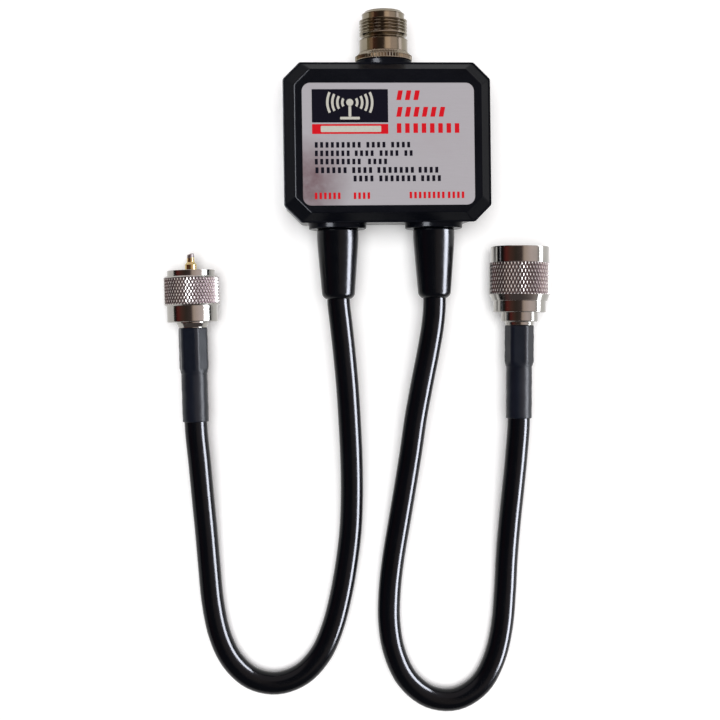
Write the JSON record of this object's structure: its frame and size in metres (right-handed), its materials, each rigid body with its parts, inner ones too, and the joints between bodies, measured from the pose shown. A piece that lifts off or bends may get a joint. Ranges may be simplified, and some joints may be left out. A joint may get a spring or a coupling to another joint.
{
  "type": "rf duplexer",
  "caption": "Antenna duplexer: an eight-sided die-cast filter box with a threaded antenna jack and two short coaxial leads, one with a long-pin screw plug and one with a sleeved screw plug.",
  "frame": {"origin": "middle of the rear cover's outer face, on which the box lies", "axes": "+X to the right of the label, +Y towards the antenna jack, +Z out of the label"},
  "size_m": [0.1295, 0.2351, 0.0287],
  "materials": {
    "black_paint": "gloss",
    "screw_steel": "satin",
    "label_foil": "satin",
    "nickel": "polished",
    "white_insulator": "matte",
    "cream_insulator": "matte",
    "gold": "polished",
    "copper": "satin",
    "brass": "satin",
    "boot_rubber": "gloss",
    "lead_jacket": "gloss",
    "board_laminate": "satin",
    "tin_plate": "satin",
    "ochre_ceramic": "satin",
    "blue_ceramic": "satin",
    "shrunk_sleeve": "matte",
    "gasket_rubber": "matte",
    "spring_bronze": "satin"
  },
  "bodies": {
    "box_and_leads": {"front_housing": "black_paint", "rear_cover": "black_paint", "cover_screws": "screw_steel", "rating_label": "label_foil", "antenna_port_shell": "nickel", "antenna_port_insulator": "white_insulator", "antenna_port_contact": "gold", "antenna_port_washer": "nickel", "antenna_port_nut": "nickel", "antenna_wire": "copper", "hf_boot": "boot_rubber", "vhf_boot": "boot_rubber", "hf_lead_inner_end": "lead_jacket", "vhf_lead_inner_end": "lead_jacket", "lead_clamp_rings": "brass", "circuit_board": "board_laminate", "board_screws": "screw_steel", "shield_plate": "tin_plate", "lowpass_coils": "copper", "highpass_coils": "copper", "lowpass_capacitors": "ochre_ceramic", "highpass_capacitors": "blue_ceramic", "hf_lead": "lead_jacket", "hf_lead_plug_end": "lead_jacket", "hf_ferrule": "nickel", "hf_sleeve": "shrunk_sleeve", "hf_plug_body": "nickel", "hf_plug_insulator": "cream_insulator", "hf_plug_pin": "gold", "vhf_lead": "lead_jacket", "vhf_lead_plug_end": "lead_jacket", "vhf_ferrule": "nickel", "vhf_sleeve": "shrunk_sleeve", "vhf_plug_body": "nickel", "vhf_plug_insulator": "white_insulator", "vhf_plug_pin": "gold", "vhf_plug_gasket": "gasket_rubber", "vhf_snap_ring": "spring_bronze"},
    "hf_nut": {"hf_coupling_nut": "nickel"},
    "vhf_nut": {"vhf_coupling_nut": "nickel"}
  },
  "joints": [
    {"name": "hf_nut_spin", "type": "hinge", "parent": "box_and_leads", "child": "hf_nut", "pos_m": [-0.06453, -0.04841, 0.00915], "axis": [-0.0175, 0.9998, 0], "continuous": true},
    {"name": "vhf_nut_spin", "type": "hinge", "parent": "box_and_leads", "child": "vhf_nut", "pos_m": [0.04539, -0.04601, 0.0102], "axis": [0.0175, 0.9998, 0], "continuous": true}
  ]
}
